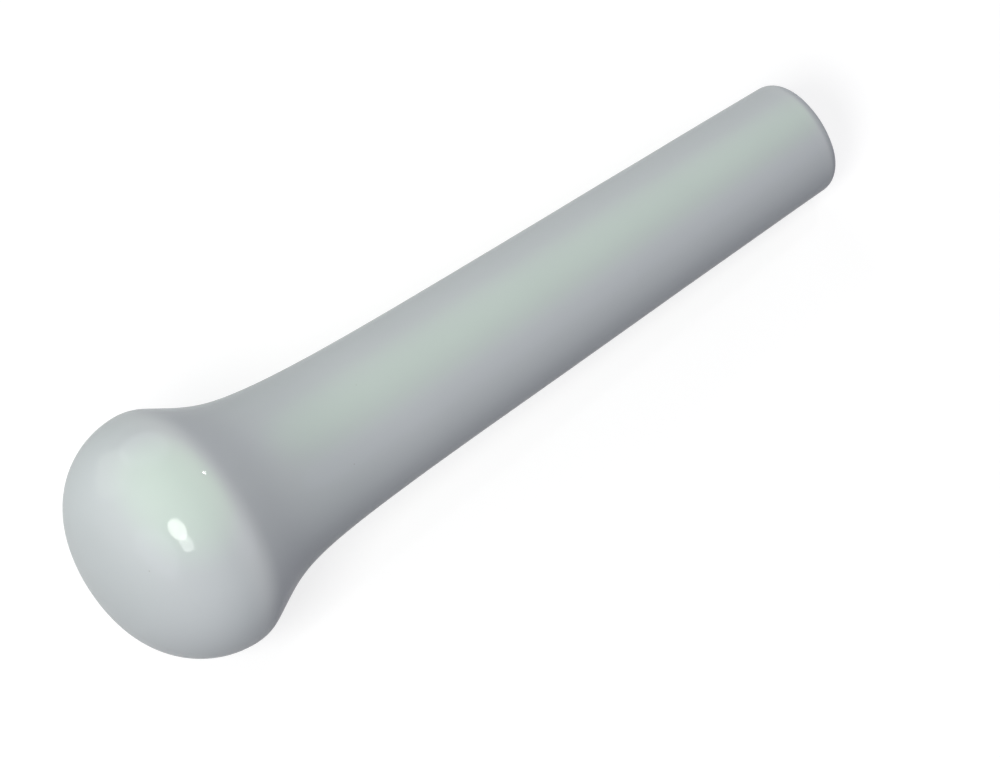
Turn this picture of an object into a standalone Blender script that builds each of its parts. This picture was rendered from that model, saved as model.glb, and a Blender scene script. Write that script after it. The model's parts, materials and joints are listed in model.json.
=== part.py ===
"""A one-piece porcelain pestle in its glaze, lying on its side as it is put down.

Metres, +Z up. +X runs from the grinding head to the end of the handle, and the origin
is on the surface that the pestle lies on, in the middle of the space it takes.
"""

import math

import bpy

# Driving sizes. Lengths are in metres and angles in degrees, and distances along the
# pestle are counted from the crown, the outermost point of the grinding face.
LENGTH = 0.210  # crown to the bare foot at the end of the handle
HEAD_RADIUS = 0.030  # at the widest circle of the head
CROWN_RADIUS = 0.052  # curve of the grinding face
SHOULDER_RADIUS = 0.0225  # curve from the grinding face to the widest circle
RIM_BACK_RADIUS = 0.0115  # curve behind the widest circle
RIM_BACK_SWEEP = 27.5  # how far that curve turns before the neck takes over
NECK_PULL_HEAD = 0.017  # how far the neck holds the rim's direction
NECK_PULL_HANDLE = 0.071  # how far the neck holds the handle's direction
HANDLE_START = 0.113  # where the neck has become the straight handle
HANDLE_END_RADIUS = 0.0144
HANDLE_TAPER = 1.6  # slope of the handle's side to its axis
END_EDGE_RADIUS = 0.0035  # rounding of the handle's end
GLAZE_THICKNESS = 0.0004
GLAZE_CLEARANCE = 0.0003  # between the clay and the glaze that is fused to it
GLAZE_STOP = 45  # the glaze ends this far short of the foot, round the end's edge

CLAY_DEPTH = GLAZE_THICKNESS + GLAZE_CLEARANCE  # of the clay, below the glazed surface

# Fineness of the surfaces
SEGMENTS = 48  # flat sides round the axis
ARC_STEP = 7.5  # largest turn between two points of an arc
NECK_STEPS = 12

CLAY_COLOR = (0.68, 0.66, 0.62, 1)
GLAZE_COLOR = (0.60, 0.635, 0.64, 1)
CLAY_ROUGHNESS = 0.75
GLAZE_ROUGHNESS = 0.10


def arc(centre, radius, start, stop):
    """Points and outward normals of an arc in the pestle's half section.

    Each is (along the axis, away from the axis). The angles are the normal's: 0 leaves
    the crown, 90 points away from the axis and 180 leaves the foot.
    """
    steps = max(1, math.ceil((stop - start) / ARC_STEP))
    curve = []
    for step in range(steps + 1):
        angle = math.radians(start + (stop - start) * step / steps)
        normal = (-math.cos(angle), math.sin(angle))
        point = (centre[0] + radius * normal[0], centre[1] + radius * normal[1])
        curve.append((point, normal))
    return curve


def bend(start, start_pull, end_pull, end):
    """Points and outward normals of the cubic curve that joins two points."""
    curve = []
    for step in range(1, NECK_STEPS):
        t = step / NECK_STEPS
        s = 1 - t
        point = []
        slope = []
        for a, b, c, d in zip(start, start_pull, end_pull, end):
            point.append(s**3 * a + 3 * s * s * t * b + 3 * s * t * t * c + t**3 * d)
            slope.append(s * s * (b - a) + 2 * s * t * (c - b) + t * t * (d - c))
        size = math.hypot(*slope)
        curve.append((tuple(point), (-slope[1] / size, slope[0] / size)))
    return curve


def widest_place():
    """How far the head's widest circle is from the crown."""
    inset = HEAD_RADIUS - SHOULDER_RADIUS
    return CROWN_RADIUS - math.sqrt((CROWN_RADIUS - SHOULDER_RADIUS) ** 2 - inset**2)


def handle_radius(along):
    """Radius of the straight handle, or of its line carried past its ends."""
    return HANDLE_END_RADIUS + (LENGTH - along) * math.tan(math.radians(HANDLE_TAPER))


def rim_centre():
    return widest_place(), HEAD_RADIUS - RIM_BACK_RADIUS


def end_edge_centre():
    """Centre of the rounding at the handle's end, whose clay reaches the foot."""
    along = LENGTH - (END_EDGE_RADIUS - CLAY_DEPTH)
    return along, handle_radius(along) - END_EDGE_RADIUS / math.cos(math.radians(HANDLE_TAPER))


def surface(end_angle):
    """The glazed outline from the crown to a point on the rounding of the end."""
    widest = widest_place()
    inset = HEAD_RADIUS - SHOULDER_RADIUS
    crown_sweep = math.degrees(math.asin(inset / (CROWN_RADIUS - SHOULDER_RADIUS)))
    crown = arc((CROWN_RADIUS, 0), CROWN_RADIUS, 0, crown_sweep)
    shoulder = arc((widest, inset), SHOULDER_RADIUS, crown_sweep, 90)
    rim_back = arc(rim_centre(), RIM_BACK_RADIUS, 90, 90 + RIM_BACK_SWEEP)

    start, normal = rim_back[-1]
    start_pull = (start[0] + NECK_PULL_HEAD * normal[1], start[1] - NECK_PULL_HEAD * normal[0])
    taper = math.radians(HANDLE_TAPER)
    end = (HANDLE_START, handle_radius(HANDLE_START))
    end_pull = (
        end[0] - NECK_PULL_HANDLE * math.cos(taper),
        end[1] + NECK_PULL_HANDLE * math.sin(taper),
    )
    neck = bend(start, start_pull, end_pull, end)
    neck.append((end, (math.sin(taper), math.cos(taper))))

    end_edge = arc(end_edge_centre(), END_EDGE_RADIUS, 90 + HANDLE_TAPER, end_angle)
    return crown + shoulder[1:] + rim_back[1:] + neck + end_edge


def sunk(outline, depth):
    """The outline moved into the pestle, square to its surface."""
    return [(p[0] - depth * n[0], p[1] - depth * n[1]) for p, n in outline]


def turned(name, half_section, material):
    """A solid turned from a half section, listed down its outer side from the foot."""
    points = [(away, 0, along) for along, away in half_section]
    edges = [(i, i + 1) for i in range(len(points) - 1)]
    mesh = bpy.data.meshes.new(name)
    mesh.from_pydata(points, edges, [])
    mesh.materials.append(material)
    piece = bpy.data.objects.new(name, mesh)
    screw = piece.modifiers.new("Turn", "SCREW")
    screw.axis = "Z"
    screw.steps = SEGMENTS
    screw.render_steps = SEGMENTS
    screw.use_merge_vertices = True
    screw.merge_threshold = 0.00001
    screw.use_smooth_shade = True
    # Half a side's turn puts a flat side, and not an edge, on the surface below.
    piece.rotation_euler.z = math.pi / SEGMENTS
    return piece


def finish(name, color, roughness):
    material = bpy.data.materials.new(name)
    material.use_nodes = True
    shader = material.node_tree.nodes["Principled BSDF"]
    shader.inputs["Base Color"].default_value = color
    shader.inputs["Roughness"].default_value = roughness
    shader.inputs["Metallic"].default_value = 0
    return material


def porcelain_body():
    """The fired clay: one piece from crown to foot, bare at the foot alone."""
    section = sunk(surface(180), CLAY_DEPTH)
    section.append((section[-1][0], 0))
    clay = finish("fired_clay", CLAY_COLOR, CLAY_ROUGHNESS)
    return turned("porcelain_body", section[::-1], clay)


def glaze_coat():
    """The glass skin over the whole surface, open round the bare foot."""
    outline = surface(180 - GLAZE_STOP)
    outside = sunk(outline, 0)
    inside = sunk(outline, GLAZE_THICKNESS)
    glaze = finish("celadon_glaze", GLAZE_COLOR, GLAZE_ROUGHNESS)
    return turned("glaze_coat", inside + outside[::-1], glaze)


def resting_tilt():
    """Slope of the axis when the back of the rim and the handle's end both touch down."""
    rim_along, rim_away = rim_centre()
    edge_along, edge_away = end_edge_centre()
    span = math.hypot(edge_along - rim_along, rim_away - edge_away)
    tilt = math.atan2(rim_away - edge_away, edge_along - rim_along)
    return tilt + math.asin((RIM_BACK_RADIUS - END_EDGE_RADIUS) / span)


def lay_down():
    """An empty that lays the upright pestle on its side, in the middle of its space."""
    tilt = resting_tilt()
    slope = math.sin(tilt)
    level = math.cos(tilt)
    rim_along, rim_away = rim_centre()
    edge_along, edge_away = end_edge_centre()
    crown_height = rim_along * slope + rim_away * level + RIM_BACK_RADIUS
    head_reach = CROWN_RADIUS * (level - 1)
    foot_reach = edge_along * level + edge_away * slope + END_EDGE_RADIUS - CLAY_DEPTH

    rest = bpy.data.objects.new("pestle_rest", None)
    rest.rotation_euler.y = math.pi / 2 + tilt
    rest.location = (-(head_reach + foot_reach) / 2, 0, crown_height)
    return rest


def main():
    for old in list(bpy.data.objects):
        bpy.data.objects.remove(old)
    collection = bpy.data.collections.new("porcelain_pestle")
    bpy.context.scene.collection.children.link(collection)
    rest = lay_down()
    collection.objects.link(rest)
    for piece in (porcelain_body(), glaze_coat()):
        piece.parent = rest
        collection.objects.link(piece)


main()
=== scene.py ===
"""The looks of a glazed porcelain pestle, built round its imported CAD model.

It is laid out as a Blender add-on: one operator for the glaze, one for the clay under it
and one for the stage they lie on. Metres, +Z up. +X runs from the grinding head to the
end of the handle. Distances along the pestle are counted from the crown, the outermost
point of the grinding face.
"""

import json
import math

import bmesh
import bpy
from bpy.props import FloatProperty, FloatVectorProperty, IntProperty, PointerProperty
from mathutils import Matrix, Vector, geometry, noise

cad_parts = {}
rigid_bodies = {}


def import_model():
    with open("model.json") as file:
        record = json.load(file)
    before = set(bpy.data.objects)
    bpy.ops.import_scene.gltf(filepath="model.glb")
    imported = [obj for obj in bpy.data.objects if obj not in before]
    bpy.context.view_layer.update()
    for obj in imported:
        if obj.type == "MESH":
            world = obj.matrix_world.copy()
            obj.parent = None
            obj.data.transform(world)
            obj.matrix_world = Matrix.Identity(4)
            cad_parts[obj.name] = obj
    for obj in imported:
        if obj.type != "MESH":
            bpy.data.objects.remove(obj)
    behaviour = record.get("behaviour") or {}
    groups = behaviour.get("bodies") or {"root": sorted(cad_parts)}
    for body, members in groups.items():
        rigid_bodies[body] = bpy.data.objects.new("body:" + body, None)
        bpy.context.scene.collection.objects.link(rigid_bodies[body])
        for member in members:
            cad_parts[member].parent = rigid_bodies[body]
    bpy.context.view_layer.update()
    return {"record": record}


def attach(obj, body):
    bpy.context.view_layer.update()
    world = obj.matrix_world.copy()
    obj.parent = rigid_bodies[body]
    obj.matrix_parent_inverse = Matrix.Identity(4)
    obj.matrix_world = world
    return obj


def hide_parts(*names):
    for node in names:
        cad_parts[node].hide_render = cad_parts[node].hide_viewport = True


bl_info = {
    "name": "Porcelain Pestle",
    "version": (1, 0, 0),
    "blender": (4, 5, 0),
    "location": "3D View > Sidebar > Pestle",
    "description": "Builds the glazed surface, the bare foot and the stage of a porcelain pestle",
    "category": "Add Mesh",
}

for unwanted in list(bpy.data.objects):
    bpy.data.objects.remove(unwanted)
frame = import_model()

# The handle's end stands at this mount, which also gives the slope that the pestle lies at
REST = frame["record"]["mounts"][0]
BODY = "root"

# Fineness of the turned surfaces
NECK_POINTS = 72
SPOT = 0.0012  # largest distance between two points of the turned outline
ARC_TURN = math.radians(7.5)  # largest turn between two points of an arc
MERGE_WITHIN = 1e-6
LIP_CORNER = math.radians(60)  # an edge of the lip that turns more than this is rounded
LIP_STEPS = 3

# Slow waves in the glaze: a large set, with a finer and lower one on it
WAVE_SHARE = 0.8  # brings both together to about the height that is asked for
FINER_WAVES = 2.3  # times as fine
FINER_SHARE = 0.4  # times as high
FINER_PLACE = Vector((7, 3, 5))  # so that the two don't line up
WAVE_FADE = 0.012  # they fade out over this stretch before the foot

# Wander of the glaze's edge
LIP_SWING = 1.6  # the noise seldom passes 0.6, and this brings it to the full wander
LIP_BENDS = 1.7

# Where the glaze has pooled or drawn off, along the pestle
NECK_MIDDLE = 0.24  # share of the length
NECK_REACH = 0.030  # to each side, as are the next three
LIP_REACH = 0.0016
RIM_REACH = 0.006
END_REACH = 0.002
RIM_PAST = 0.001  # past the widest circle
RIM_DRAWN = 0.7  # share of the thin colour, as is the next one
END_DRAWN = 0.5
END_BEFORE = 0.0005  # before the end's rounding
STREAKS_ROUND = 60  # fineness of the streaks across the pestle, and along it
STREAKS_ALONG = 12

# Edge of the foot, where the clay is flashed: radius at which it begins, and its width
FLASH_FROM = 0.0105
FLASH_WIDTH = 0.003

# Patterns of the glaze. A fineness is about the number of marks in a metre.
CLOUD_FINENESS = 38
CLOUD_SHARE = 0.25  # how far the deepest cloud goes to the pooled colour
POOL_SHARE = 0.45  # how far a pool goes to it
SPECK_FINENESS = 330
SPECK_RARITY = 0.985  # share of the places that have none, as is the next one
PINHOLE_RARITY = 0.955
RARITY_STEP = 0.005  # share of the places whose mark is a faint one
PINHOLE_FINENESS = 240
PINHOLE_DEPTH = 0.00012
PEEL_FINENESS = 420
PEEL_HEIGHT = 0.0000015
RIPPLE_FINENESS = 120
RIPPLE_HEIGHT = 0.000006
SHEEN_FINENESS = 70

# Patterns of the clay
GRAIN_FINENESS = 2600
GRAIN_HEIGHT = 0.00008
PATCH_FINENESS = 240
RING_FINENESS = 420
RING_HEIGHT = 0.00003

# Name, azimuth and elevation of the direction it comes from in degrees (0 is +Y, 90 is
# +X), radius, and the light it throws on a surface that faces it, where 1 shows a colour
# as it is written
LAMP_DISTANCE = 1.5
LAMPS = (
    ("window_lamp", -116, 48, 0.240, (0.48, 0.48, 0.46)),
    ("window_edge", -129, 39, 0.190, (0.17, 0.17, 0.17)),
    ("spark_lamp", 79, 62, 0.042, (0.06, 0.06, 0.06)),
    ("left_panel", -100, 15, 0.550, (0.20, 0.20, 0.23)),
    ("back_panel", -30, 15, 0.550, (0.20, 0.225, 0.19)),
    ("far_panel", 0, 35, 0.550, (0.21, 0.21, 0.24)),
    ("end_panel", 80, 12, 0.550, (0.26, 0.25, 0.26)),
    ("near_panel", 150, 25, 0.550, (0.085, 0.085, 0.115)),
)

OUT_OF_GLOSS = "end_panel"  # it lights the foot, and would show as a patch in the neck

GLOW_AT = (-78, 79)  # azimuth and elevation of the glow's middle, in degrees
GLOW_REACH = (6, 77)  # from its middle, where it begins to fade and where it ends, in degrees

FLOOR_NEAR, FLOOR_FAR = 0.25, 1.2  # between these the floor's white becomes all its own
FLOOR_LIT = (0.32, 0.32, 0.32)  # what the floor shows of lamp light, and so of the shadow
WHITE = (1, 1, 1)

CAMERA_AT = (-0.398882, -0.485135, 0.988642)
CAMERA_LOOKS = (0.348687, 0.412943, -0.841365)
CAMERA_CLIP = (0.05, 20)
MM = 1000  # in a metre


def length(name, metres, about):
    return FloatProperty(
        name=name, description=about, default=metres, min=0, precision=5, unit="LENGTH"
    )


def turn(name, degrees, about):
    return FloatProperty(
        name=name, description=about, default=math.radians(degrees), subtype="ANGLE"
    )


def colour(name, red_green_blue, about):
    return FloatVectorProperty(
        name=name, description=about, default=red_green_blue, min=0, max=1, subtype="COLOR"
    )


class PestleShape(bpy.types.PropertyGroup):
    """The outline of the glazed surface, which the clay follows from inside."""

    overall: length("Length", 0.210, "From the crown to the bare foot")
    head_radius: length("Head radius", 0.030, "At the widest circle of the head")
    crown_radius: length("Crown radius", 0.052, "Curve of the grinding face")
    shoulder_radius: length(
        "Shoulder radius", 0.0225, "Curve from the grinding face to the widest circle"
    )
    rim_back_radius: length("Rim back radius", 0.0115, "Curve behind the widest circle")
    rim_back_sweep: turn("Rim back sweep", 27.5, "How far the curve behind the rim turns")
    neck_pull_head: length("Neck pull, head", 0.017, "How far the neck holds the rim's direction")
    neck_pull_handle: length(
        "Neck pull, handle", 0.071, "How far the neck holds the handle's direction"
    )
    handle_start: length("Handle start", 0.113, "Where the neck has become the straight handle")
    handle_end_radius: length("Handle end radius", 0.0144, "Radius of the handle at the foot")
    handle_taper: turn("Handle taper", 1.6, "Slope of the handle's side to its axis")
    end_edge_radius: length("End edge radius", 0.0035, "Rounding of the handle's end")
    clay_depth: length("Clay depth", 0.0007, "Of the clay, below the glazed surface")
    sides: IntProperty(
        name="Sides", description="Steps of the turned surface round its axis", default=192, min=24
    )


class KilnMarks(bpy.types.PropertyGroup):
    """What the making and the firing leave on the shape."""

    lean: length("Lean", 0.0033, "Bend from head to foot: the axis strays by 0.15 of it")
    lean_side: turn("Lean side", -63.5, "The side it leans to, round the axis")
    wave: length("Wave", 0.00005, "Height of the glaze's slow waves")
    wave_size: length("Wave size", 0.022, "Distance from one slow wave to the next")
    settled: length("Settled", 0.00013, "How far the fine surface keeps inside the plain one")
    glaze_thickness: length("Glaze thickness", 0.00055, "From the glaze's surface to its back")
    lip_stop: turn("Lip stop", 45, "How far short of the foot the glaze ends")
    lip_wander: turn("Lip wander", 5, "How much the glaze's edge wanders")
    lip_round: length("Lip rounding", 0.00022, "Rounding of the glaze's edge")
    foot_settled: length("Foot settled", 0.00003, "How far the foot keeps inside the plain one")


class PestleColours(bpy.types.PropertyGroup):
    """Colours of the glaze and of the bare clay."""

    glaze: colour("Glaze", (0.60, 0.635, 0.64), "Where the glaze has its usual thickness")
    glaze_thin: colour("Thin glaze", (0.66, 0.685, 0.685), "Where it has drawn off an edge")
    glaze_pooled: colour("Pooled glaze", (0.52, 0.56, 0.565), "Where it has run together")
    glaze_speck: colour("Glaze speck", (0.30, 0.27, 0.22), "Iron specks in the glaze")
    clay: colour("Clay", (0.68, 0.66, 0.62), "The bare foot")
    clay_flash: colour("Flashed clay", (0.58, 0.47, 0.36), "Where the clay meets the glaze")
    clay_stain: colour("Foot stain", (0.42, 0.40, 0.36), "Dirt in the grain of the foot")
    floor: colour("Floor", (0.06, 0.065, 0.08), "What the floor gives back to the pestle")


class StageLight(bpy.types.PropertyGroup):
    """Light, floor and camera."""

    level: FloatProperty(name="Lamps", description="Level of all the lamps", default=1, min=0)
    fill: FloatProperty(
        name="Fill", description="Light from all round, where no lamp is", default=0.01, min=0
    )
    glow: FloatVectorProperty(
        name="Glow",
        description="Light overhead that only the gloss shows, besides the white",
        default=(2.1, 6.3, 1.5),
        min=0,
        max=20,
        subtype="COLOR",
    )
    floor_white: FloatProperty(
        name="Floor white",
        description="How much of the floor's white is its own, and not lamp light",
        default=0.78,
        min=0,
        max=1,
    )
    floor_size: length("Floor size", 6, "Width of the floor")
    lens: FloatProperty(
        name="Lens", description="Focal length of the camera", default=0.180, unit="CAMERA"
    )


def clamped(value):
    return min(max(value, 0), 1)


def widest_place(shape):
    """How far the head's widest circle is from the crown."""
    inset = shape.head_radius - shape.shoulder_radius
    reach = shape.crown_radius - shape.shoulder_radius
    return shape.crown_radius - math.sqrt(reach**2 - inset**2)


def handle_radius(shape, along):
    return shape.handle_end_radius + (shape.overall - along) * math.tan(shape.handle_taper)


def end_edge_centre(shape):
    """Centre of the rounding at the handle's end, whose clay reaches the foot."""
    along = shape.overall - (shape.end_edge_radius - shape.clay_depth)
    away = handle_radius(shape, along) - shape.end_edge_radius / math.cos(shape.handle_taper)
    return Vector((away, 0, along))


def draw_arc(mesh, last, centre, sweep):
    """Carries the outline's last point round an arc, away from the axis and to the foot."""
    radius = (last.co - Vector(centre)).length
    steps = math.ceil(max(sweep * radius / SPOT, sweep / ARC_TURN))
    made = bmesh.ops.spin(
        mesh, geom=[last], cent=centre, axis=(0, -1, 0), angle=sweep, steps=steps
    )
    return next(part for part in made["geom_last"] if isinstance(part, bmesh.types.BMVert))


def draw_line(mesh, last, points):
    for point in points:
        new = mesh.verts.new(point)
        mesh.edges.new((last, new))
        last = new
    return last


def draw_outline(mesh, shape, end_angle):
    """Draws the glazed outline from the crown to a point on the rounding of the end.

    The outline stands on the XZ plane, with the pestle's axis along Z. Its angles are
    those of its outward side: 0 leaves the crown, 90 degrees points away from the axis
    and 180 leaves the foot.
    """
    inset = shape.head_radius - shape.shoulder_radius
    crown_sweep = math.asin(inset / (shape.crown_radius - shape.shoulder_radius))
    widest = widest_place(shape)
    rim_back_centre = (shape.head_radius - shape.rim_back_radius, 0, widest)
    last = mesh.verts.new((0, 0, 0))
    last = draw_arc(mesh, last, (0, 0, shape.crown_radius), crown_sweep)
    last = draw_arc(mesh, last, (inset, 0, widest), math.pi / 2 - crown_sweep)
    last = draw_arc(mesh, last, rim_back_centre, shape.rim_back_sweep)

    leaving = math.pi / 2 + shape.rim_back_sweep
    start = last.co.copy()
    start_pull = start + shape.neck_pull_head * Vector((math.cos(leaving), 0, math.sin(leaving)))
    handle = Vector((-math.sin(shape.handle_taper), 0, math.cos(shape.handle_taper)))
    neck_end = Vector((handle_radius(shape, shape.handle_start), 0, shape.handle_start))
    end_pull = neck_end - shape.neck_pull_handle * handle
    neck = geometry.interpolate_bezier(start, start_pull, end_pull, neck_end, NECK_POINTS)
    last = draw_line(mesh, last, neck[1:])

    edge_centre = end_edge_centre(shape)
    side = Vector((math.cos(shape.handle_taper), 0, math.sin(shape.handle_taper)))
    handle_end = edge_centre + shape.end_edge_radius * side
    steps = math.ceil((handle_end - last.co).length / (2 * SPOT))
    run = [last.co.lerp(handle_end, step / steps) for step in range(1, steps + 1)]
    last = draw_line(mesh, last, run)
    return draw_arc(mesh, last, edge_centre, end_angle - math.pi / 2 - shape.handle_taper)


def turn_round(mesh, sides):
    """Turns the outline round the axis, with its crown closed and its faces outward."""
    bmesh.ops.spin(
        mesh,
        geom=mesh.verts[:] + mesh.edges[:],
        cent=(0, 0, 0),
        axis=(0, 0, 1),
        angle=2 * math.pi,
        steps=sides,
        use_merge=True,
    )
    bmesh.ops.remove_doubles(mesh, verts=mesh.verts[:], dist=MERGE_WITHIN)
    bmesh.ops.recalc_face_normals(mesh, faces=mesh.faces[:])
    crown = min(mesh.faces, key=lambda face: face.calc_center_median().z)
    if crown.normal.z > 0:
        bmesh.ops.reverse_faces(mesh, faces=mesh.faces[:])
    mesh.normal_update()


def sink(mesh, shape, marks, depth):
    """Sinks the surface square to itself, with the slow waves that the kiln leaves."""
    for vert in mesh.verts:
        fade = clamped((shape.overall - vert.co.z) / WAVE_FADE)
        wave = noise.noise(vert.co / marks.wave_size) + FINER_SHARE * noise.noise(
            vert.co * FINER_WAVES / marks.wave_size + FINER_PLACE
        )
        vert.co += vert.normal * (WAVE_SHARE * marks.wave * wave * fade - depth)
    mesh.normal_update()


def lay_down(mesh, shape, marks):
    """Leans the head a little from the handle's line and lays the pestle in its place."""
    widest = widest_place(shape)
    side = Vector((math.cos(marks.lean_side), math.sin(marks.lean_side), 0))
    for vert in mesh.verts:
        share = (vert.co.z - widest) / (shape.overall - widest)
        vert.co += side * marks.lean * share * (1 - share) ** 2
    bmesh.ops.transform(mesh, matrix=resting_place(shape), verts=mesh.verts[:])


def resting_place(shape):
    """Matrix that takes an upright pestle, crown down, to where the CAD model lies."""
    axis = Vector(REST["axis"])
    crown = Vector(REST["pos_m"]) - shape.overall * axis
    return Matrix.Translation(crown) @ Matrix.Rotation(math.atan2(axis.x, axis.z), 4, "Y")


def put_piece(name, mesh, material, node):
    """Makes the finished mesh an object that stands for its CAD node."""
    old = bpy.data.objects.get(name)
    if old:
        bpy.data.objects.remove(old)
    loose = [edge for edge in mesh.edges if len(edge.link_faces) != 2]
    if loose or mesh.calc_volume(signed=True) <= 0:
        raise RuntimeError(f"{name} isn't one closed surface with its faces outward")
    data = bpy.data.meshes.new(name)
    mesh.to_mesh(data)
    mesh.free()
    data.shade_smooth()
    data.materials.append(material)
    piece = bpy.data.objects.new(name, data)
    bpy.context.collection.objects.link(piece)
    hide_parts(node)
    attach(piece, BODY)
    return piece


class Recipe:
    """The nodes of a material or of the world, laid from left to right."""

    def __init__(self, owner):
        self.owner = owner
        self.owner.use_nodes = True
        self.tree = self.owner.node_tree
        self.tree.nodes.clear()

    def add(self, kind, settings=None, **sockets):
        """Adds a node. A socket is given by its name, with _ for a space."""
        node = self.tree.nodes.new(kind)
        node.location = (220 * len(self.tree.nodes), 0)
        for setting, value in (settings or {}).items():
            setattr(node, setting, value)
        for socket, value in sockets.items():
            self.feed(node.inputs[socket.replace("_", " ")], value)
        return node

    def feed(self, socket, value):
        if isinstance(value, bpy.types.NodeSocket):
            self.tree.links.new(value, socket)
        elif socket.type == "RGBA":
            socket.default_value = (*value, 1)
        else:
            socket.default_value = value

    def mottle(self, place, scale, detail=2, roughness=0.5):
        made = self.add(
            "ShaderNodeTexNoise", Vector=place, Scale=scale, Detail=detail, Roughness=roughness
        )
        return made.outputs["Fac"]

    def ranged(self, value, low, high, new_low, new_high):
        made = self.add(
            "ShaderNodeMapRange",
            Value=value,
            From_Min=low,
            From_Max=high,
            To_Min=new_low,
            To_Max=new_high,
        )
        return made.outputs["Result"]

    def maths(self, operation, first, second=0.0):
        made = self.add("ShaderNodeMath", {"operation": operation})
        self.feed(made.inputs[0], first)
        self.feed(made.inputs[1], second)
        return made.outputs["Value"]

    def blended(self, share, first, second):
        """Mixes two colours."""
        made = self.add("ShaderNodeMix", {"data_type": "RGBA"})
        self.feed(made.inputs["Factor"], share)
        self.feed(made.inputs[6], first)
        self.feed(made.inputs[7], second)
        return made.outputs[2]

    def marked(self, name):
        """What the mesh notes at each point under this name."""
        return self.add("ShaderNodeAttribute", {"attribute_name": name}).outputs["Fac"]

    def scattered(self, place, fineness, channel, rarity, inner, outer, depth):
        """A round mark in a few cells of space, flat to its inner radius and 0 from its outer."""
        cells = self.add(
            "ShaderNodeTexVoronoi", {"feature": "F1"}, Vector=place, Scale=fineness, Randomness=1
        )
        split = self.add("ShaderNodeSeparateColor", Color=cells.outputs["Color"])
        chosen = self.ranged(split.outputs[channel], rarity, rarity + RARITY_STEP, 0, 1)
        mark = self.ranged(cells.outputs["Distance"], inner, outer, depth, 0)
        return self.maths("MULTIPLY", chosen, mark)

    def bumped(self, height, distance, strength, normal=None):
        made = self.add("ShaderNodeBump", Height=height, Distance=distance, Strength=strength)
        if normal:
            self.feed(made.inputs["Normal"], normal)
        return made.outputs["Normal"]

    def along_pestle(self, shape):
        """Coordinates from the crown, with the pestle's axis along Z."""
        place = resting_place(shape)
        where = self.add("ShaderNodeTexCoord").outputs["Object"]
        made = self.add(
            "ShaderNodeMapping",
            {"vector_type": "TEXTURE"},
            Vector=where,
            Location=place.to_translation(),
            Rotation=place.to_euler(),
        )
        return made.outputs["Vector"]

    def seen_directly(self):
        """1 to the camera, in reflections and through glass, and 0 to bounced light."""
        path = self.add("ShaderNodeLightPath").outputs
        seen = self.maths("MAXIMUM", path["Is Camera Ray"], path["Is Glossy Ray"])
        return self.maths("MAXIMUM", seen, path["Is Transmission Ray"])

    def both(self, first, second):
        made = self.add("ShaderNodeAddShader")
        self.feed(made.inputs[0], first)
        self.feed(made.inputs[1], second)
        return made.outputs["Shader"]

    def finish(self, shader):
        kind = "World" if isinstance(self.owner, bpy.types.World) else "Material"
        self.add("ShaderNodeOutput" + kind, Surface=shader)
        return self.owner


def celadon_glaze(shape, colours):
    """Smooth pale glaze: deeper where it pooled, with slow clouds, specks and pinholes."""
    recipe = Recipe(bpy.data.materials.new("celadon_glaze"))
    place = recipe.along_pestle(shape)
    clouds = recipe.mottle(place, CLOUD_FINENESS, detail=1)
    clouds = recipe.ranged(clouds, 0.1, 0.9, 0, CLOUD_SHARE)
    pools = recipe.maths("MULTIPLY", recipe.marked("glaze_pooled"), POOL_SHARE)
    deeper = recipe.maths("ADD", pools, clouds)
    body = recipe.blended(deeper, colours.glaze, colours.glaze_pooled)
    body = recipe.blended(recipe.marked("glaze_drawn"), body, colours.glaze_thin)
    specks = recipe.scattered(
        place, SPECK_FINENESS, "Red", SPECK_RARITY, inner=0.035, outer=0.075, depth=0.4
    )
    body = recipe.blended(specks, body, colours.glaze_speck)

    peel = recipe.mottle(place, PEEL_FINENESS, detail=1)
    surface = recipe.bumped(peel, PEEL_HEIGHT, 1.0)
    ripple = recipe.mottle(place, RIPPLE_FINENESS, detail=0)
    surface = recipe.bumped(ripple, RIPPLE_HEIGHT, 1.0, surface)
    holes = recipe.scattered(
        place, PINHOLE_FINENESS, "Green", PINHOLE_RARITY, inner=0, outer=0.07, depth=1
    )
    surface = recipe.bumped(recipe.maths("MULTIPLY", holes, -1.0), PINHOLE_DEPTH, 0.6, surface)

    sheen = recipe.mottle(place, SHEEN_FINENESS, detail=3, roughness=0.6)
    shader = recipe.add(
        "ShaderNodeBsdfPrincipled",
        Base_Color=body,
        Roughness=recipe.ranged(sheen, 0.3, 0.7, 0.24, 0.34),
        IOR=1.5,
        Specular_IOR_Level=0.0,
        Coat_Weight=0.38,
        Coat_Roughness=0.06,
        Coat_IOR=1.5,
        Normal=surface,
        Coat_Normal=surface,
    )
    return recipe.finish(shader.outputs["BSDF"])


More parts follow.
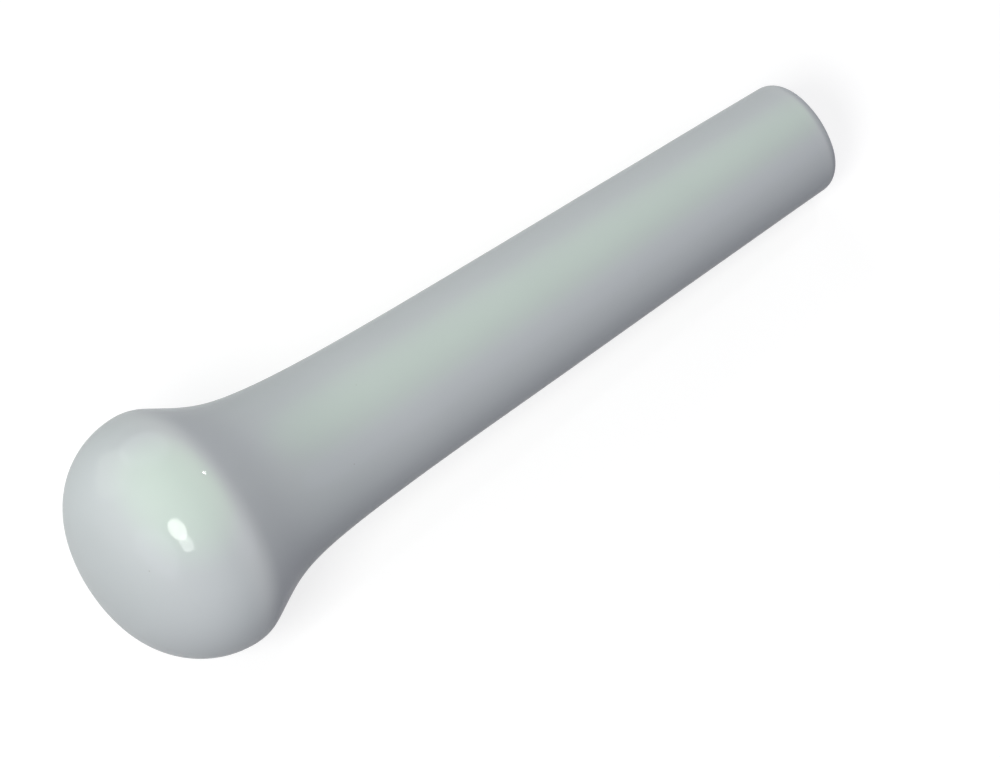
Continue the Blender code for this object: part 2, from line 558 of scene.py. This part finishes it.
def fired_clay(shape, colours):
    """Dry foot: fine sandy grain, rings from its grinding, dirt in the grain."""
    recipe = Recipe(bpy.data.materials.new("fired_clay"))
    place = recipe.along_pestle(shape)
    grain = recipe.mottle(place, GRAIN_FINENESS, detail=4, roughness=0.65)
    patches = recipe.mottle(place, PATCH_FINENESS, detail=4, roughness=0.6)
    rings = recipe.add(
        "ShaderNodeTexWave",
        {"wave_type": "RINGS", "rings_direction": "Z"},
        Vector=place,
        Scale=RING_FINENESS,
        Distortion=3.0,
        Detail=3,
        Detail_Scale=1.5,
    ).outputs["Fac"]

    uneven = recipe.ranged(patches, 0.3, 0.6, 0.45, 0.85)
    flash = recipe.maths("MULTIPLY", recipe.marked("foot_edge"), uneven)
    body = recipe.blended(flash, colours.clay, colours.clay_flash)
    dirt = recipe.maths(
        "MULTIPLY",
        recipe.ranged(grain, 0.50, 0.70, 0, 0.5),
        recipe.ranged(patches, 0.42, 0.66, 0.15, 1),
    )
    scuffs = recipe.maths("ADD", dirt, recipe.ranged(rings, 0.75, 1.0, 0, 0.18))
    body = recipe.blended(scuffs, body, colours.clay_stain)

    surface = recipe.bumped(rings, RING_HEIGHT, 0.5)
    surface = recipe.bumped(grain, GRAIN_HEIGHT, 0.7, surface)
    shader = recipe.add(
        "ShaderNodeBsdfPrincipled",
        Base_Color=body,
        Roughness=recipe.ranged(grain, 0.3, 0.7, 0.72, 0.95),
        Specular_IOR_Level=0.3,
        Normal=surface,
    )
    return recipe.finish(shader.outputs["BSDF"])


def bell(value, middle, width):
    """1 in the middle and 0 beyond the width, smooth between."""
    near = max(0, 1 - abs(value - middle) / width)
    return near * near * (3 - 2 * near)


def mark_glaze(mesh, shape, marks):
    """Notes at each point how much the glaze has pooled, and how far it has drawn off."""
    pooled = mesh.verts.layers.float.new("glaze_pooled")
    drawn = mesh.verts.layers.float.new("glaze_drawn")
    rim = widest_place(shape) + RIM_PAST
    neck = shape.overall * NECK_MIDDLE
    end = end_edge_centre(shape).z - END_BEFORE
    lip = end_edge_centre(shape).z + shape.end_edge_radius * math.cos(marks.lip_stop)
    for vert in mesh.verts:
        x, y, along = vert.co
        streak = noise.noise(Vector((x * STREAKS_ROUND, y * STREAKS_ROUND, along * STREAKS_ALONG)))
        vert[pooled] = bell(along, neck, NECK_REACH) * (0.8 + 0.2 * streak)
        vert[pooled] += bell(along, lip, LIP_REACH)
        vert[drawn] = RIM_DRAWN * bell(along, rim, RIM_REACH) * (0.75 + 0.25 * streak)
        vert[drawn] += END_DRAWN * bell(along, end, END_REACH)


def wander_lip(mesh, shape, marks):
    """Turns the points of the end's rounding about its centre, so the lip isn't even."""
    centre = end_edge_centre(shape)
    for vert in mesh.verts:
        rise = vert.co.z - centre.z
        if rise <= 0:
            continue
        away = math.hypot(vert.co.x, vert.co.y)
        out = Vector((vert.co.x / away, vert.co.y / away, 0))
        share = min(rise / (shape.end_edge_radius * math.cos(marks.lip_stop)), 1)
        swing = marks.lip_wander * share * noise.noise(out * LIP_BENDS) * LIP_SWING
        reach = math.atan2(rise, away - centre.x) + swing
        vert.co = out * (centre.x + shape.end_edge_radius * math.cos(reach))
        vert.co.z = centre.z + shape.end_edge_radius * math.sin(reach)


class PESTLE_OT_glaze(bpy.types.Operator):
    """Lay the glaze over the head, the neck and the handle"""

    bl_idname = "pestle.glaze"
    bl_label = "Glaze"

    def execute(self, context):
        scene = context.scene
        shape, marks = scene.pestle_shape, scene.kiln_marks
        mesh = bmesh.new()
        draw_outline(mesh, shape, math.pi - marks.lip_stop)
        turn_round(mesh, shape.sides)
        wander_lip(mesh, shape, marks)
        mesh.normal_update()
        sink(mesh, shape, marks, marks.settled)
        bmesh.ops.solidify(mesh, geom=mesh.faces[:], thickness=marks.glaze_thickness)
        mesh.normal_update()
        lip = [
            edge
            for edge in mesh.edges
            if edge.calc_face_angle(0) > LIP_CORNER
            and edge.verts[0].co.z > shape.overall - shape.end_edge_radius
        ]
        bmesh.ops.bevel(
            mesh,
            geom=lip,
            offset=marks.lip_round,
            affect="EDGES",
            segments=LIP_STEPS,
            profile=0.5,
            material=-1,
        )
        mark_glaze(mesh, shape, marks)
        lay_down(mesh, shape, marks)
        finish = celadon_glaze(shape, scene.pestle_colours)
        put_piece("glaze_skin", mesh, finish, "glaze_coat")
        return {"FINISHED"}


class PESTLE_OT_clay(bpy.types.Operator):
    """Form the fired clay, which shows at the bare foot"""

    bl_idname = "pestle.clay"
    bl_label = "Clay"

    def execute(self, context):
        scene = context.scene
        shape, marks = scene.pestle_shape, scene.kiln_marks
        mesh = bmesh.new()
        last = draw_outline(mesh, shape, math.pi)
        rings = math.ceil(last.co.x / SPOT)
        inward = Vector((0, 0, last.co.z))
        steps = [last.co.lerp(inward, step / rings) for step in range(1, rings + 1)]
        draw_line(mesh, last, steps)
        turn_round(mesh, shape.sides // 2)
        sink(mesh, shape, marks, shape.clay_depth + marks.foot_settled)
        edge = mesh.verts.layers.float.new("foot_edge")
        rise = shape.overall - shape.end_edge_radius
        for vert in mesh.verts:
            away = math.hypot(vert.co.x, vert.co.y)
            if vert.co.z > rise:
                vert[edge] = clamped((away - FLASH_FROM) / FLASH_WIDTH)
        lay_down(mesh, shape, marks)
        finish = fired_clay(shape, scene.pestle_colours)
        put_piece("clay_body", mesh, finish, "porcelain_body")
        return {"FINISHED"}


def pale_floor(floor_colour, own_white):
    """White where it is seen, with the pestle's shadow on it, and dim where it only lights."""
    recipe = Recipe(bpy.data.materials.new("pale_floor"))
    where = recipe.add("ShaderNodeTexCoord").outputs["Object"]
    away = recipe.add("ShaderNodeVectorMath", {"operation": "LENGTH"}, Vector=where)
    own = recipe.ranged(away.outputs["Value"], FLOOR_NEAR, FLOOR_FAR, own_white, 1.0)
    white = recipe.add("ShaderNodeEmission", Color=WHITE, Strength=own)
    lit = recipe.add("ShaderNodeBsdfDiffuse", Color=FLOOR_LIT)
    given = recipe.add("ShaderNodeBsdfDiffuse", Color=floor_colour)
    mix = recipe.add("ShaderNodeMixShader", Fac=recipe.seen_directly())
    recipe.feed(mix.inputs[1], given.outputs["BSDF"])
    recipe.feed(mix.inputs[2], recipe.both(white.outputs["Emission"], lit.outputs["BSDF"]))
    return recipe.finish(mix.outputs["Shader"])


def direction_of(azimuth, elevation):
    """Direction of a place in the sky, in degrees, where azimuth 0 is +Y and 90 is +X."""
    azimuth, elevation = math.radians(azimuth), math.radians(elevation)
    level = math.cos(elevation)
    return Vector((math.sin(azimuth) * level, math.cos(azimuth) * level, math.sin(elevation)))


def white_world(fill, glow):
    """White where it is seen, dim where it only lights, and a soft glow overhead in the gloss."""
    recipe = Recipe(bpy.data.worlds.new("white_surroundings"))
    strength = recipe.ranged(recipe.seen_directly(), 0, 1, fill, 1)
    white = recipe.add("ShaderNodeBackground", Color=WHITE, Strength=strength)
    where = recipe.add("ShaderNodeTexCoord").outputs["Generated"]
    facing = recipe.add("ShaderNodeVectorMath", {"operation": "DOT_PRODUCT"})
    recipe.feed(facing.inputs[0], where)
    recipe.feed(facing.inputs[1], direction_of(*GLOW_AT))
    near = recipe.add(
        "ShaderNodeMapRange",
        {"interpolation_type": "SMOOTHSTEP"},
        Value=facing.outputs["Value"],
        From_Min=math.cos(math.radians(GLOW_REACH[1])),
        From_Max=math.cos(math.radians(GLOW_REACH[0])),
    )
    gloss = recipe.add("ShaderNodeLightPath").outputs["Is Glossy Ray"]
    brightest = max(glow)
    glowing = recipe.maths("MULTIPLY", near.outputs["Result"], brightest)
    shine = recipe.add(
        "ShaderNodeBackground",
        Color=[part / brightest for part in glow],
        Strength=recipe.maths("MULTIPLY", gloss, glowing),
    )
    both = recipe.both(white.outputs["Background"], shine.outputs["Background"])
    return recipe.finish(both)


def aim(thing, place, direction):
    thing.location = place
    thing.rotation_euler = Vector(direction).to_track_quat("-Z", "Y").to_euler()


def hang_lamp(name, azimuth, elevation, radius, level):
    """A round soft lamp that faces the pestle."""
    towards = direction_of(azimuth, elevation)
    brightest = max(level)
    light = bpy.data.lights.new(name, "AREA")
    light.shape = "DISK"
    light.size = 2 * radius
    light.color = [part / brightest for part in level]
    light.energy = math.pi**2 * (radius**2 + LAMP_DISTANCE**2) * brightest
    lamp = bpy.data.objects.new(name, light)
    lamp.visible_camera = False
    lamp.visible_glossy = name != OUT_OF_GLOSS
    bpy.context.collection.objects.link(lamp)
    aim(lamp, towards * LAMP_DISTANCE, -towards)


class PESTLE_OT_stage(bpy.types.Operator):
    """Set the floor, the lamps and the camera"""

    bl_idname = "pestle.stage"
    bl_label = "Stage"

    def execute(self, context):
        scene = context.scene
        setup, colours = scene.stage_light, scene.pestle_colours
        mesh = bmesh.new()
        bmesh.ops.create_grid(mesh, x_segments=1, y_segments=1, size=setup.floor_size / 2)
        data = bpy.data.meshes.new("floor")
        mesh.to_mesh(data)
        mesh.free()
        data.materials.append(pale_floor(colours.floor, setup.floor_white))
        floor = bpy.data.objects.new("floor", data)
        context.collection.objects.link(floor)
        scene.world = white_world(setup.fill, setup.glow)
        for name, azimuth, elevation, radius, level in LAMPS:
            hang_lamp(name, azimuth, elevation, radius, [setup.level * part for part in level])

        camera = bpy.data.objects.new("camera", bpy.data.cameras.new("camera"))
        camera.data.lens = setup.lens * MM
        camera.data.clip_start, camera.data.clip_end = CAMERA_CLIP
        context.collection.objects.link(camera)
        aim(camera, CAMERA_AT, CAMERA_LOOKS)
        scene.camera = camera
        scene.view_settings.view_transform = "Standard"
        return {"FINISHED"}


class PESTLE_PT_parts(bpy.types.Panel):
    """The pestle's pieces and their sizes"""

    bl_label = "Porcelain Pestle"
    bl_idname = "PESTLE_PT_parts"
    bl_space_type = "VIEW_3D"
    bl_region_type = "UI"
    bl_category = "Pestle"

    def draw(self, context):
        for operator in (PESTLE_OT_glaze, PESTLE_OT_clay, PESTLE_OT_stage):
            self.layout.operator(operator.bl_idname)
        for name in GROUPS:
            group = getattr(context.scene, name)
            box = self.layout.box()
            for setting in group.__annotations__:
                box.prop(group, setting)


GROUPS = {
    "pestle_shape": PestleShape,
    "kiln_marks": KilnMarks,
    "pestle_colours": PestleColours,
    "stage_light": StageLight,
}
CLASSES = (*GROUPS.values(), PESTLE_OT_glaze, PESTLE_OT_clay, PESTLE_OT_stage, PESTLE_PT_parts)


def register():
    for one in CLASSES:
        bpy.utils.register_class(one)
    for name, group in GROUPS.items():
        setattr(bpy.types.Scene, name, PointerProperty(type=group))


def unregister():
    for name in GROUPS:
        delattr(bpy.types.Scene, name)
    for one in reversed(CLASSES):
        bpy.utils.unregister_class(one)


def main():
    register()
    bpy.ops.pestle.stage()
    bpy.ops.pestle.clay()
    bpy.ops.pestle.glaze()


if __name__ == "__main__":
    main()
